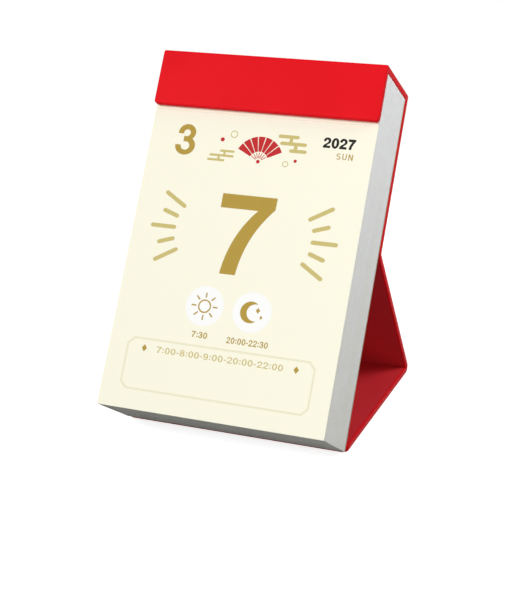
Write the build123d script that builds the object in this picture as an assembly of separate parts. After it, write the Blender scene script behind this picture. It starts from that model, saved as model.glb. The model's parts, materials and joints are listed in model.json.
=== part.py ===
"""Tear-off day calendar: a thick pad of leaves in a wrapped board case that folds into a desk stand.

Frame: millimetres, +Z up, the page faces -Y, +X to the right of someone reading it.
The origin is on the table, below the middle of the calendar's bounding box.
"""

from build123d import *
import os
from math import asin, atan2, cos, degrees, hypot, radians, sin, sqrt

# Pad: leaves, backing and binding
LEAF_WIDTH = 97.0
LEAF_HEIGHT = 148.0
LEAF_THICKNESS = 0.105
LEAVES = {
    "march": 23,
    "april": 30,
    "may": 31,
    "june": 30,
    "july": 31,
    "august": 31,
    "september": 30,
    "october": 31,
    "november": 30,
    "december": 31,
}
FRONT_LEAVES = 2
BACKING_THICKNESS = 1.0
FOOT_SLANT = 1.2
PADDING_THICKNESS = 0.3

# Perforation below the header: short paper ties between punched slots
PERFORATION_DROP = 1.3
TIE_PITCH = 2.0
TIE_WIDTH = 0.8
TIE_HEIGHT = 0.2

# Binding staples, hidden below the header
STAPLE_WIRE = 0.8
STAPLE_CROWN = 12.0
STAPLE_CLINCH = 4.0
STAPLE_BEND = 0.9
STAPLE_ROOM = 0.05
STAPLE_FROM_SIDE = 22.5
STAPLE_FROM_EDGE = 12.0

# Case: grey board wrapped in cover paper
BOARD_THICKNESS = 2.4
COVER_THICKNESS = 0.2
GLUE_LINE = 0.1
CASE_OVERHANG = 0.4
HEADER_HEIGHT = 23.8
TURN_IN = 8.0
SPINE_RADIUS = 1.2
EDGE_RADIUS = 0.55
HEADER_CORNER = 1.6
BASE_CORNER = 2.6

# Stand: how far the pad leans back, where the back folds, how far the base reaches,
# and how far the pad's foot hangs below the base's upper face, in front of the base
LEAN = 30.0
FOLD_HEIGHT = 82.0
BASE_LENGTH = 93.0
REST_DROP = 0.7
REST_GAP = 0.1
FOLD_GAP = 0.2
REAR_GAP = 0.1
FOLD_STOP = 0.9

# Closing flap on the lower back of the pad
FLAP_INSET = 3.0
FLAP_HEIGHT = 28.0
TAPE_WIDTH = 12.0
TAPE_INSET = 4.0
TAPE_FROM_SIDE = 16.0

# Sizes that follow
PANEL = BOARD_THICKNESS + 2 * COVER_THICKNESS
FLAP_WIDTH = LEAF_WIDTH - 2 * FLAP_INSET
CASE_WIDTH = LEAF_WIDTH + 2 * CASE_OVERHANG
PAD_DEPTH = BACKING_THICKNESS + (sum(LEAVES.values()) + FRONT_LEAVES) * LEAF_THICKNESS
BOUND_TOP = LEAF_HEIGHT + PADDING_THICKNESS
HEADER_EDGE = BOUND_TOP + PANEL - HEADER_HEIGHT
PERFORATION = HEADER_EDGE - PERFORATION_DROP
HEADER_BACK = PAD_DEPTH + GLUE_LINE
HEADER_FRONT = HEADER_BACK + PANEL
CASE_BACK = -GLUE_LINE - PANEL
BACK_EDGE = FOLD_HEIGHT + FOLD_GAP
LEAN_SIN = sin(radians(LEAN))
LEAN_COS = cos(radians(LEAN))

# Where the page's lower edge meets the pad's back, which all of the upper part is placed from
PAD_Y = (PAD_DEPTH * LEAN_COS - BASE_LENGTH) / 2
PAD_Z = PANEL - REST_DROP
PAD_FRAME = Plane((0, PAD_Y, PAD_Z), x_dir=(1, 0, 0), z_dir=(0, -LEAN_COS, LEAN_SIN))

# Folds, as points in the side view: the back fold on the outer face, the rear fold on the base's upper face
BACK_FOLD_Y = PAD_Y + FOLD_HEIGHT * LEAN_SIN - CASE_BACK * LEAN_COS
BACK_FOLD_Z = PAD_Z + FOLD_HEIGHT * LEAN_COS + CASE_BACK * LEAN_SIN
REAR_FOLD_Y = PAD_Y + BASE_LENGTH - PANEL
REAR_FOLD_Z = PANEL

# Support panel: its inner face runs through the rear fold, its outer face through the back fold
FOLD_DISTANCE = hypot(BACK_FOLD_Y - REAR_FOLD_Y, BACK_FOLD_Z - REAR_FOLD_Z)
SUPPORT_LENGTH = sqrt(FOLD_DISTANCE**2 - PANEL**2)
FOLD_RISE = atan2(BACK_FOLD_Z - REAR_FOLD_Z, REAR_FOLD_Y - BACK_FOLD_Y)
SUPPORT_RISE = FOLD_RISE - asin(PANEL / FOLD_DISTANCE)
SUPPORT_OUT_Y = sin(SUPPORT_RISE)
SUPPORT_OUT_Z = cos(SUPPORT_RISE)
SUPPORT_FRAME = Plane(
    (0, REAR_FOLD_Y + PANEL * SUPPORT_OUT_Y, REAR_FOLD_Z + PANEL * SUPPORT_OUT_Z),
    x_dir=(1, 0, 0),
    z_dir=(0, -SUPPORT_OUT_Y, -SUPPORT_OUT_Z),
)
BASE_FRONT = PAD_Y + (REST_DROP * LEAN_SIN + REST_GAP) / LEAN_COS
BASE_FRAME = Plane((0, BASE_FRONT, 0))

# Travel of the two folds until the calendar lies flat on its back
REAR_FOLD_TRAVEL = 180 - degrees(SUPPORT_RISE) - FOLD_STOP
BACK_FOLD_TRAVEL = REAR_FOLD_TRAVEL - (90 - LEAN)


def block(x, y, z):
    """Box between the two ends given for each axis."""
    size = [high - low for low, high in (x, y, z)]
    middle = [(low + high) / 2 for low, high in (x, y, z)]
    return Pos(*middle) * Box(*size)


def across(width):
    """Both ends of a width that is centred on the calendar."""
    return (-width / 2, width / 2)


# Panels of the stand, drawn flat: x across, y along the panel, z from the outer face to the inner face
def panel_solids(length, corner):
    """Cover, board and lining of one panel. A corner radius closes the near end, without one it is a fold."""
    outer = block(across(CASE_WIDTH), (0, length), (0, PANEL))
    board = block(
        across(CASE_WIDTH - 2 * COVER_THICKNESS),
        (COVER_THICKNESS if corner else 0, length),
        (COVER_THICKNESS, PANEL - COVER_THICKNESS),
    )
    if corner:
        outer = fillet(outer.edges().filter_by(Axis.Z).group_by(Axis.Y)[0], corner)
        board = fillet(board.edges().filter_by(Axis.Z).group_by(Axis.Y)[0], corner - COVER_THICKNESS)
        rim = outer.edges().filter_by(Axis.Z, reverse=True).sort_by(Axis.Y)[:-2]
    else:
        rim = outer.edges().filter_by(Axis.Y)
    outer = fillet(rim, EDGE_RADIUS)
    window = block(
        across(CASE_WIDTH - 2 * TURN_IN),
        (TURN_IN if corner else 0, length),
        (PANEL - COVER_THICKNESS, PANEL),
    )
    return outer - board - window, board, window


# Upper case, drawn in the pad's own frame: x across, y up the page, z out of the page
def case_solid(inset, width):
    """Header, spine and upper back as one folded strip, drawn in by an inset on its closed sides."""
    front = HEADER_FRONT - inset
    top = BOUND_TOP + PANEL - inset
    back = CASE_BACK + inset
    outline = make_face(
        Polyline(
            (HEADER_EDGE + inset, front),
            (top, front),
            (top, back),
            (BACK_EDGE, back),
            (BACK_EDGE, -GLUE_LINE - inset),
            (BOUND_TOP + inset, -GLUE_LINE - inset),
            (BOUND_TOP + inset, HEADER_BACK + inset),
            (HEADER_EDGE + inset, HEADER_BACK + inset),
            close=True,
        )
    )
    outline = fillet(outline.vertices().group_by(Axis.X)[-1], SPINE_RADIUS - inset)
    strip = extrude(Plane.YZ * outline, width / 2, both=True)
    header_corners = strip.edges().filter_by(Axis.Z).group_by(Axis.Z)[-1].group_by(Axis.Y)[0]
    return fillet(header_corners, HEADER_CORNER - inset)


def split_at_spine(strip):
    """Header, spine and back pieces of a folded strip, parted along the mitres of its two corners."""
    reach = 2 * PANEL
    mitre = make_face(
        Polyline(
            (BOUND_TOP, -GLUE_LINE),
            (BOUND_TOP, HEADER_BACK),
            (BOUND_TOP + reach, HEADER_BACK + reach),
            (BOUND_TOP + reach, -GLUE_LINE - reach),
            close=True,
        )
    )
    wedge = extrude(Plane.YZ * mitre, CASE_WIDTH, both=True)
    back, header = (strip - wedge).solids().sort_by(Axis.Z)
    return {"header": header, "spine": (strip & wedge).solids()[0], "back": back}


def is_outer_edge(edge):
    """True for an edge along the outer faces of the folded strip."""
    middle = edge.center()
    on_header = middle.Z > HEADER_FRONT - EDGE_RADIUS
    on_spine = middle.Y > BOUND_TOP + PANEL - EDGE_RADIUS
    on_back = middle.Z < CASE_BACK + EDGE_RADIUS
    return on_header or on_spine or on_back


def case_pieces():
    """Boards, cover papers and glue sheets of header, spine and upper back."""
    boards = case_solid(COVER_THICKNESS, CASE_WIDTH - 2 * COVER_THICKNESS)
    window = across(CASE_WIDTH - 2 * TURN_IN)
    glue = {
        "header_glue": block(
            window, (HEADER_EDGE + TURN_IN, LEAF_HEIGHT), (PAD_DEPTH, HEADER_BACK + COVER_THICKNESS)
        ),
        "spine_glue": block(window, (BOUND_TOP, BOUND_TOP + COVER_THICKNESS), (0, PAD_DEPTH)),
        "back_glue": block(window, (BACK_EDGE, LEAF_HEIGHT), (-GLUE_LINE - COVER_THICKNESS, 0)),
    }
    cover = case_solid(0, CASE_WIDTH)
    rim = [edge for edge in cover.faces().filter_by(Axis.X).edges() if is_outer_edge(edge)]
    cover = fillet(rim, EDGE_RADIUS) - boards - list(glue.values())
    pieces = dict(glue)
    pieces["header_glue"] -= staple_wires(STAPLE_WIRE / 2 + STAPLE_ROOM)
    for name, solid in split_at_spine(boards).items():
        pieces[f"{name}_board"] = solid
    for name, solid in split_at_spine(cover).items():
        pieces[f"{name}_cover"] = solid
    return pieces


# Pad, drawn in the same frame
def staple_wires(radius):
    """Both binding staples: crown under the header, legs through the pad, ends clinched in the backing."""
    half = STAPLE_CROWN / 2
    height = HEADER_EDGE + STAPLE_FROM_EDGE
    sunk = STAPLE_WIRE / 2 + 2 * STAPLE_ROOM
    front = PAD_DEPTH - STAPLE_WIRE / 4
    wires = []
    for middle in across(LEAF_WIDTH - 2 * STAPLE_FROM_SIDE):
        path = FilletPolyline(
            (middle - half + STAPLE_CLINCH, height, sunk),
            (middle - half, height, sunk),
            (middle - half, height, front),
            (middle + half, height, front),
            (middle + half, height, sunk),
            (middle + half - STAPLE_CLINCH, height, sunk),
            radius=STAPLE_BEND,
        )
        wires.append(sweep(Plane(path @ 0, z_dir=path % 0) * Circle(radius), path))
    return wires


def perforated_leaf(front):
    """Tear-off part of one leaf, with the ties of its perforation along the top edge."""
    depth = (front - LEAF_THICKNESS, front)
    leaf = block(across(LEAF_WIDTH), (0, PERFORATION), depth)
    slot = Box(TIE_PITCH - TIE_WIDTH, TIE_HEIGHT, LEAF_THICKNESS)
    middle = Pos(0, PERFORATION - TIE_HEIGHT / 2, front - LEAF_THICKNESS / 2)
    places = GridLocations(TIE_PITCH, TIE_PITCH, int(LEAF_WIDTH / TIE_PITCH), 1)
    slots = [middle * place * slot for place in places]
    return leaf - slots


def bound_block(back, front):
    """Whole leaves or backing between two depths. The foot of the pad is slanted, lowest at the back."""
    foot_back, foot_front = (FOOT_SLANT * (depth / PAD_DEPTH - 1) for depth in (back, front))
    outline = make_face(
        Polyline(
            (foot_back, back), (foot_front, front), (LEAF_HEIGHT, front), (LEAF_HEIGHT, back), close=True
        )
    )
    return extrude(Plane.YZ * outline, LEAF_WIDTH / 2, both=True)


def pad_pieces():
    """Leaves, stubs, backing and binding of the pad. The two front leaves can lift and tear off."""
    room = staple_wires(STAPLE_WIRE / 2 + STAPLE_ROOM)
    width = across(LEAF_WIDTH)
    pieces = {"binding_staples": Compound(staple_wires(STAPLE_WIRE / 2))}
    front = PAD_DEPTH
    for name in ("today", "next"):
        pieces[f"{name}_leaf"] = perforated_leaf(front)
        stub = block(width, (PERFORATION, LEAF_HEIGHT), (front - LEAF_THICKNESS, front))
        pieces[f"{name}_stub"] = stub - room
        front -= LEAF_THICKNESS
    for month, count in LEAVES.items():
        back = front - count * LEAF_THICKNESS
        pieces[f"{month}_leaves"] = bound_block(back, front) - room
        front = back
    pieces["backing_board"] = bound_block(0, front) - room
    pieces["padding_glue"] = block(width, (LEAF_HEIGHT, BOUND_TOP), (0, PAD_DEPTH))
    return pieces


def flap_pieces():
    """Paper flap that closes the stand, held to the lower back of the pad by two tapes."""
    rise = (FLAP_INSET, FLAP_INSET + FLAP_HEIGHT)
    flap = block(across(FLAP_WIDTH), rise, (-GLUE_LINE - COVER_THICKNESS, -GLUE_LINE))
    tape = Box(TAPE_WIDTH, FLAP_HEIGHT - 2 * TAPE_INSET, GLUE_LINE)
    places = across(FLAP_WIDTH - 2 * TAPE_FROM_SIDE)
    tapes = [Pos(x, sum(rise) / 2, -GLUE_LINE / 2) * tape for x in places]
    return {"closing_flap": flap, "flap_tapes": Compound(tapes)}


def rear_fold_strip():
    """Cover paper that bends round the rear fold, from under the base to the back of the support."""
    section = Pos(0, COVER_THICKNESS / 2 - PANEL) * Rectangle(CASE_WIDTH, COVER_THICKNESS)
    strip = revolve(Plane.XZ * section, Axis.X, 180 - degrees(SUPPORT_RISE))
    return Pos(0, REAR_FOLD_Y, REAR_FOLD_Z) * strip


def main():
    pieces = {}
    for name, solid in {**case_pieces(), **pad_pieces(), **flap_pieces()}.items():
        pieces[name] = PAD_FRAME * solid

    support = panel_solids(SUPPORT_LENGTH - FOLD_GAP - REAR_GAP, None)
    for name, solid in zip(("cover", "board", "lining"), support):
        pieces[f"support_{name}"] = SUPPORT_FRAME * Pos(0, REAR_GAP, 0) * solid

    base = panel_solids(REAR_FOLD_Y - REAR_GAP - BASE_FRONT, BASE_CORNER)
    for name, solid in zip(("cover", "board", "lining"), base):
        pieces[f"base_{name}"] = BASE_FRAME * solid

    pieces["rear_fold_paper"] = rear_fold_strip()

    os.makedirs("parts", exist_ok=True)
    for name, solid in pieces.items():
        export_step(solid, f"parts/{name}.step")

    leaf_fold = PAD_FRAME.from_local_coords((0, PERFORATION, PAD_DEPTH))
    print(f"{len(pieces)} pieces, pad depth {PAD_DEPTH:.2f} mm")
    print(f"rear fold y {REAR_FOLD_Y:.4f} z {REAR_FOLD_Z:.4f}, travel {REAR_FOLD_TRAVEL:.4f} deg")
    print(f"back fold y {BACK_FOLD_Y:.4f} z {BACK_FOLD_Z:.4f}, travel {BACK_FOLD_TRAVEL:.4f} deg")
    print(f"leaf fold y {leaf_fold.Y:.4f} z {leaf_fold.Z:.4f}")
    print(f"support rises {degrees(SUPPORT_RISE):.3f} deg over {SUPPORT_LENGTH:.2f} mm")


main()
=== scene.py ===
# %% [markdown]
# # A tear-off day calendar on its folded board stand
# The calendar is a thick pad of day leaves, bound along its top edge and glued into one long strip of red,
# paper-covered board. The strip runs over the pad as header, spine and upper back, folds away behind it as
# a support, and folds again under it as a base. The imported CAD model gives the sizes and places, so this
# lesson only dresses it: it never moves a CAD part.

import json
import math
import random

import bmesh
import bpy
import numpy as np
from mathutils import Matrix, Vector


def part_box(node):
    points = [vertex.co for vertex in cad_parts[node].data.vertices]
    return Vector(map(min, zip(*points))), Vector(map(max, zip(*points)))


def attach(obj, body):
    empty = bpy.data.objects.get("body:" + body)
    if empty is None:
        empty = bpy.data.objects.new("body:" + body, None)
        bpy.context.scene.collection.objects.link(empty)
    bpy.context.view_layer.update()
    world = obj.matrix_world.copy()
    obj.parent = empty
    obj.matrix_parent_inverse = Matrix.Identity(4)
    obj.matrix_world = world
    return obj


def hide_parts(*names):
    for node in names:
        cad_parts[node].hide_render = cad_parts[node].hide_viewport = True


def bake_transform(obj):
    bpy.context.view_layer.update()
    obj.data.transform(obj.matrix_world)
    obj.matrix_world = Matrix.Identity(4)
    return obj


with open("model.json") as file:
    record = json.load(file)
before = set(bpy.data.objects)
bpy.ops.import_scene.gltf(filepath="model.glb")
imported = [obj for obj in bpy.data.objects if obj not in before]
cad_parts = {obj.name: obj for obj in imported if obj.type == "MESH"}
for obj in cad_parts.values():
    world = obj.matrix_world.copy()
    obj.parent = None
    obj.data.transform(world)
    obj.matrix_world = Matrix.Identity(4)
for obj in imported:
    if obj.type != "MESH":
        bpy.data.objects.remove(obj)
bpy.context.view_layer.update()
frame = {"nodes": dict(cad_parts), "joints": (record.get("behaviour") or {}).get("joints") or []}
MM = 0.001

# %% [markdown]
# ## The page's own directions
# The pad leans back, so nearly everything on it is easier to say in the page's own directions: across, up
# the page, and out of the page. The chipboard backing is a plain slab, and its corners give the lean
# without any number being typed in: its lowest corner is the pad's foot, and the corner furthest back is
# straight above it. The pad is trimmed at a slant, lowest at the back, so heights are counted from the
# lower edge of today's leaf.

# %% Measure the lean and set up page coordinates
def cad_points(node):
    """Points of a CAD node at rest, in metres."""
    return [vertex.co for vertex in frame["nodes"][node].data.vertices]


foot = min(cad_points("backing_board"), key=lambda corner: corner.z)
head = max(cad_points("backing_board"), key=lambda corner: corner.y)
LEAN = math.atan2(head.y - foot.y, head.z - foot.z)
PAGE_UP = Vector((0, math.sin(LEAN), math.cos(LEAN)))
PAGE_OUT = Vector((0, -math.cos(LEAN), math.sin(LEAN)))
foot_rise = min((corner - foot).dot(PAGE_UP) for corner in cad_points("today_leaf"))
page_start = foot + PAGE_UP * foot_rise
FOOT_SLANT = foot_rise / MM


def page_point(x, up, out):
    """Place in metres of a point given in millimetres across, up and out of the page."""
    return Vector((x * MM, page_start.y, page_start.z)) + (PAGE_UP * up + PAGE_OUT * out) * MM


def page_extent(node):
    """Lowest and highest (across, up, out) of a CAD node, in millimetres."""
    start = Vector((0, page_start.y, page_start.z))
    away = [corner - start for corner in cad_points(node)]
    places = [(step.x / MM, step.dot(PAGE_UP) / MM, step.dot(PAGE_OUT) / MM) for step in away]
    return np.min(places, axis=0), np.max(places, axis=0)


leaf_low, leaf_high = page_extent("today_leaf")
LEAF_WIDTH = leaf_high[0] - leaf_low[0]
PAGE_FRONT = leaf_high[2]
print(f"lean {math.degrees(LEAN):.2f} degrees, leaf {LEAF_WIDTH:.1f} mm wide, page front {PAGE_FRONT:.2f} mm")
print(f"the foot is slanted by {FOOT_SLANT:.2f} mm")

# %% [markdown]
# ## The camera
# The photograph looks at the page from its right and from above, through a longish lens. The numbers here
# were found by lining up the corners of the model with the corners seen in the picture. The lens axis
# doesn't pass through the middle of the picture, and a small shift of the camera's frame takes care of
# that.

# %% Place the camera
PHOTO_WIDTH = 505
PHOTO_HEIGHT = 606
SENSOR_WIDTH = 36
AIM = Vector((0, -5.8, 64.7)) * MM
AZIMUTH = math.radians(21.12)
ELEVATION = math.radians(18.51)
DISTANCE = 588.6 * MM
FOCAL_PIXELS = 1409.6
AXIS_PIXEL_X = 257.1
AXIS_PIXEL_Y = 268.6

level = math.cos(ELEVATION)
look = Vector((-math.sin(AZIMUTH) * level, math.cos(AZIMUTH) * level, -math.sin(ELEVATION)))
lens = bpy.data.cameras.new("photo_lens")
lens.sensor_width = SENSOR_WIDTH
lens.lens = FOCAL_PIXELS * SENSOR_WIDTH / PHOTO_HEIGHT
lens.shift_x = (PHOTO_WIDTH / 2 - AXIS_PIXEL_X) / PHOTO_HEIGHT
lens.shift_y = (AXIS_PIXEL_Y - PHOTO_HEIGHT / 2) / PHOTO_HEIGHT
camera = bpy.data.objects.new("photo_camera", lens)
camera.location = AIM - look * DISTANCE
camera.rotation_euler = look.to_track_quat("-Z", "Y").to_euler()
bpy.context.scene.collection.objects.link(camera)
bpy.context.scene.camera = camera
bpy.context.scene.view_settings.view_transform = "Standard"
print(f"camera {lens.lens:.1f} mm at", [round(c, 3) for c in camera.location])

# %% [markdown]
# ## Wiring nodes
# A Blender material is a small network of nodes. Its colours are linear light, while a colour picked by eye
# is three 8 bit numbers. Every finish below repeats the same steps: turn such colours into linear light,
# start a material, and feed the inputs of its nodes. A helper for each step lets a finish read as a list of
# what goes where.

# %% Helpers that wire nodes
def shade(red, green, blue):
    """Linear colour of an 8 bit sRGB colour, as Blender's sockets take it."""
    shares = [value / 255 for value in (red, green, blue)]
    linear = [s / 12.92 if s <= 0.04045 else ((s + 0.055) / 1.055) ** 2.4 for s in shares]
    return (*linear, 1.0)


def new_finish(name):
    """A node material and its shader."""
    finish = bpy.data.materials.new(name)
    finish.use_nodes = True
    return finish, finish.node_tree, finish.node_tree.nodes["Principled BSDF"]


def feed(tree, node, inputs):
    """Gives inputs of a node, by name or number, a value of their own or the output of another node."""
    for name, value in inputs.items():
        if isinstance(value, bpy.types.NodeSocket):
            tree.links.new(value, node.inputs[name])
        else:
            node.inputs[name].default_value = value


def fed_node(tree, kind, inputs):
    """A new node with its inputs fed."""
    node = tree.nodes.new(kind)
    feed(tree, node, inputs)
    return node


print("a middle grey in linear light:", [round(part, 3) for part in shade(128, 128, 128)])

# %% [markdown]
# ## Grain, tone and relief
# Paper and board look alike from afar and different close up: what tells them apart is the size of their
# fibres, how much the colour wanders, and how rough they are. Pictures of paper could give that, but they
# need unwrapping and smear on thin edges. Noise in object coordinates needs neither. Those are the rest
# places in metres, so a grain size in millimetres means the same on every piece and stays put when a joint
# moves.

# %% Helpers for grain, tone and relief
NOISE_LOW = 0.3
NOISE_HIGH = 0.7


def grain(tree, size, detail=3.0, stretch=(1, 1, 1)):
    """Noise with grains of about the given size in millimetres, drawn out where stretch is below one."""
    place = tree.nodes.new("ShaderNodeTexCoord")
    scaled = fed_node(tree, "ShaderNodeMapping", {"Vector": place.outputs["Object"], "Scale": stretch})
    settings = {"Vector": scaled.outputs["Vector"], "Scale": 1 / (size * MM), "Detail": detail}
    return fed_node(tree, "ShaderNodeTexNoise", settings).outputs["Fac"]


def tones(tree, factor, dark, light):
    """Colour that wanders between two tones with a grain."""
    ramp = fed_node(tree, "ShaderNodeValToRGB", {"Fac": factor})
    first, last = ramp.color_ramp.elements
    first.position = NOISE_LOW
    first.color = dark
    last.position = NOISE_HIGH
    last.color = light
    return ramp.outputs["Color"]


def spread(tree, factor, low, high, start=NOISE_LOW, stop=NOISE_HIGH):
    """What runs from start to stop, such as a grain, spread from low to high for roughness and masks."""
    settings = {"Value": factor, "From Min": start, "From Max": stop, "To Min": low, "To Max": high}
    return fed_node(tree, "ShaderNodeMapRange", settings).outputs["Result"]


def mixed(tree, factor, first, second):
    """Two colours joined by a mask."""
    mix = tree.nodes.new("ShaderNodeMix")
    mix.data_type = "RGBA"
    feed(tree, mix, {"Factor": factor, "A": first, "B": second})
    return mix.outputs["Result"]


def relief(tree, shader, height, depth):
    """Bump of a depth in millimetres from a grain."""
    bump = fed_node(tree, "ShaderNodeBump", {"Height": height, "Distance": depth * MM})
    feed(tree, shader, {"Normal": bump.outputs["Normal"]})


print("tones wander over noise from", NOISE_LOW, "to", NOISE_HIGH)

# %% [markdown]
# ## Red cover paper
# The case is wrapped in a smooth printed paper: an even, slightly orange red with a dull sheen. On the ends
# of the boards, which turn away from the light, a darker red is painted in as shade, patchy with a grain.
# Painting that by hand would tie it to one mesh, so the rest normal finds the ends: they face left or right.
# The lining inside the stand is the same kind of paper, whose duller, greyer red is painted sheen, the grey
# haze that light leaves on the shaded inside.

# %% Make the cover paper and the lining paper
def reckoned(tree, operation, first, second=0.0):
    """Result of a Math node on numbers or on the outputs of other nodes."""
    node = fed_node(tree, "ShaderNodeMath", {0: first, 1: second})
    node.operation = operation
    return node.outputs["Value"]


def end_shade_mask(tree):
    """Mask for painted shade: one where the paper is turned over the left or right end of a board, none on
    its faces.
    """
    place = tree.nodes.new("ShaderNodeTexCoord")
    parts = fed_node(tree, "ShaderNodeSeparateXYZ", {"Vector": place.outputs["Normal"]})
    sideways = reckoned(tree, "ABSOLUTE", parts.outputs["X"])
    return spread(tree, sideways, low=0, high=1, start=0.25, stop=0.8)


def make_red_paper(name, dark, light, end, roughness):
    """Printed red paper with fine tooth and slow drift of colour; the end colour is painted shade, patchy, on
    turned ends.
    """
    finish, tree, shader = new_finish(name)
    drift = tones(tree, grain(tree, size=30.0, detail=2.0), dark, light)
    tooth = grain(tree, size=0.22, detail=4.0)
    mottled = mixed(tree, spread(tree, tooth, low=0.0, high=0.10), drift, dark)
    # Painted shade: the ends that face left or right are darkened, patchy with a coarse grain.
    shade_mottle = spread(tree, grain(tree, size=1.1, detail=4.0), low=0.7, high=1.0)
    painted_end_shade = reckoned(tree, "MULTIPLY", end_shade_mask(tree), shade_mottle)
    red = mixed(tree, painted_end_shade, mottled, end)
    rough = spread(tree, tooth, low=roughness - 0.06, high=roughness + 0.06)
    feed(tree, shader, {"Base Color": red, "Roughness": rough, "Specular IOR Level": 0.06})
    relief(tree, shader, tooth, depth=0.004)
    return finish


# The third colour of each paper is the painted shade on the turned ends.
cover_paper = make_red_paper("cover_paper", shade(226, 10, 24), shade(231, 14, 28), shade(188, 8, 18), 0.55)
# The lining is real paper; its duller, greyer red is painted sheen, standing in for the grey haze that light
# leaves on the shaded inside.
lining_paper = make_red_paper("lining_paper", shade(209, 48, 56), shade(215, 52, 60), shade(190, 40, 48), 0.6)
print("made", cover_paper.name, "and", lining_paper.name)

# %% [markdown]
# ## Board, chipboard, glue, tape and wire
# These hardly show: grey board inside the case, the brown-grey chipboard behind the pad, the binder's white
# glue along the top of the leaves, two strips of tape and two wire staples. Flat colours would do at rest,
# but a lifted leaf or an opened stand brings some of them into view, so each gets a grain of its own.

# %% Make the hidden materials
def make_board(name, dark, light, fleck):
    """Pressed waste paper: clouds of tone with fine flecks, matt all over."""
    finish, tree, shader = new_finish(name)
    cloud = tones(tree, grain(tree, size=3.0, detail=5.0), dark, light)
    fibre = grain(tree, size=0.35, detail=5.0, stretch=(1, 0.35, 1))
    flecked = mixed(tree, spread(tree, fibre, low=-0.4, high=0.6), cloud, fleck)
    feed(tree, shader, {"Base Color": flecked, "Roughness": 0.9, "Specular IOR Level": 0.2})
    relief(tree, shader, fibre, depth=0.02)
    return finish


def make_glue(name, dark, light, roughness):
    """Dried glue or tape: a smooth skin with slow ripples."""
    finish, tree, shader = new_finish(name)
    ripple = grain(tree, size=1.6, detail=2.0)
    rough = spread(tree, ripple, low=roughness - 0.08, high=roughness + 0.08)
    feed(tree, shader, {"Base Color": tones(tree, ripple, dark, light), "Roughness": rough})
    relief(tree, shader, ripple, depth=0.02)
    return finish


def make_wire(name, dark, light):
    """Galvanised staple wire with drawing marks."""
    finish, tree, shader = new_finish(name)
    marks = grain(tree, size=0.12, detail=3.0, stretch=(0.08, 1, 1))
    rough = spread(tree, marks, low=0.28, high=0.46)
    feed(tree, shader, {"Base Color": tones(tree, marks, dark, light), "Roughness": rough, "Metallic": 1.0})
    relief(tree, shader, marks, depth=0.004)
    return finish


grey_board = make_board("grey_board", shade(138, 136, 132), shade(160, 158, 152), shade(104, 101, 97))
chipboard = make_board("chipboard", shade(166, 150, 128), shade(186, 170, 148), shade(128, 112, 92))
binding_glue = make_glue("binding_glue", shade(226, 222, 206), shade(238, 235, 222), 0.35)
flap_tape = make_glue("flap_tape", shade(222, 208, 168), shade(232, 220, 184), 0.28)
staple_wire = make_wire("staple_wire", shade(150, 152, 156), shade(198, 200, 204))
print("made", [m.name for m in (grey_board, chipboard, binding_glue, flap_tape, staple_wire)])

# %% [markdown]
# ## Leaf paper and printing inks
# Every leaf is white paper whose front is tinted cream before the day is printed on it. That is why the
# page looks cream and the cut edges of the pad look pale grey-white. One material does both: it compares
# the rest normal with the direction out of the page. Random Per Island then gives each leaf in the block
# its own slight tone, so the cut edges read as hundreds of sheets.

# %% Make leaf paper and inks
def make_leaf_paper(name):
    """White leaf with a cream tinted front and a tone of its own on each cut edge."""
    finish, tree, shader = new_finish(name)
    place = tree.nodes.new("ShaderNodeTexCoord")
    facing = fed_node(tree, "ShaderNodeVectorMath", {0: place.outputs["Normal"], 1: PAGE_OUT})
    facing.operation = "DOT_PRODUCT"
    front = spread(tree, facing.outputs["Value"], low=0, high=1, start=0.8, stop=0.95)
    fibre = grain(tree, size=0.3, detail=5.0)
    cream = tones(tree, fibre, shade(250, 247, 226), shade(253, 250, 231))
    island = tree.nodes.new("ShaderNodeNewGeometry").outputs["Random Per Island"]
    sheet = tones(tree, island, shade(226, 228, 230), shade(240, 241, 243))
    cut = spread(tree, grain(tree, size=0.9, detail=4.0, stretch=(1, 0.2, 0.2)), low=0.0, high=0.12)
    edge = mixed(tree, cut, sheet, shade(196, 195, 194))
    rough = spread(tree, fibre, low=0.72, high=0.86)
    page = mixed(tree, front, edge, cream)
    feed(tree, shader, {"Base Color": page, "Roughness": rough, "Specular IOR Level": 0.02})
    relief(tree, shader, fibre, depth=0.003)
    return finish


def make_ink(name, dark, light, roughness):
    """Printing ink: the paper's fibres show through as a faint mottle."""
    finish, tree, shader = new_finish(name)
    fibre = grain(tree, size=0.18, detail=4.0)
    mottled = tones(tree, fibre, dark, light)
    rough = spread(tree, fibre, low=roughness - 0.07, high=roughness + 0.07)
    feed(tree, shader, {"Base Color": mottled, "Roughness": rough, "Specular IOR Level": 0.1})
    relief(tree, shader, fibre, depth=0.003)
    return finish


leaf_paper = make_leaf_paper("leaf_paper")
INKS = {
    "gold": make_ink("gold_ink", shade(172, 142, 54), shade(184, 155, 64), 0.5),
    "pale_gold": make_ink("pale_gold_ink", shade(199, 182, 112), shade(208, 193, 126), 0.55),
    "black": make_ink("black_ink", shade(16, 15, 14), shade(26, 25, 23), 0.5),
    "red": make_ink("red_ink", shade(184, 28, 34), shade(198, 36, 40), 0.5),
    "white": make_ink("white_ink", shade(250, 250, 248), shade(254, 254, 252), 0.7),
    "line": make_ink("line_ink", shade(234, 230, 200), shade(239, 235, 207), 0.6),
}
print("made", leaf_paper.name, "and", len(INKS), "inks")

# %% [markdown]
# ## A skin over rings
# A board wrapped in paper has soft edges, and each edge has a radius of its own. Bevels on a box could give
# them one by one, with trouble where they meet. Here a wrapped board is a skin over a row of rings that
# share one number of points, with a flat cap at both ends, and the rings draw in where an edge turns. The
# mesh comes out closed, which matters because each piece is also exported by itself.

# %% Helpers for skins and pieces
SHARP_TURN = math.radians(40)


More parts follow.
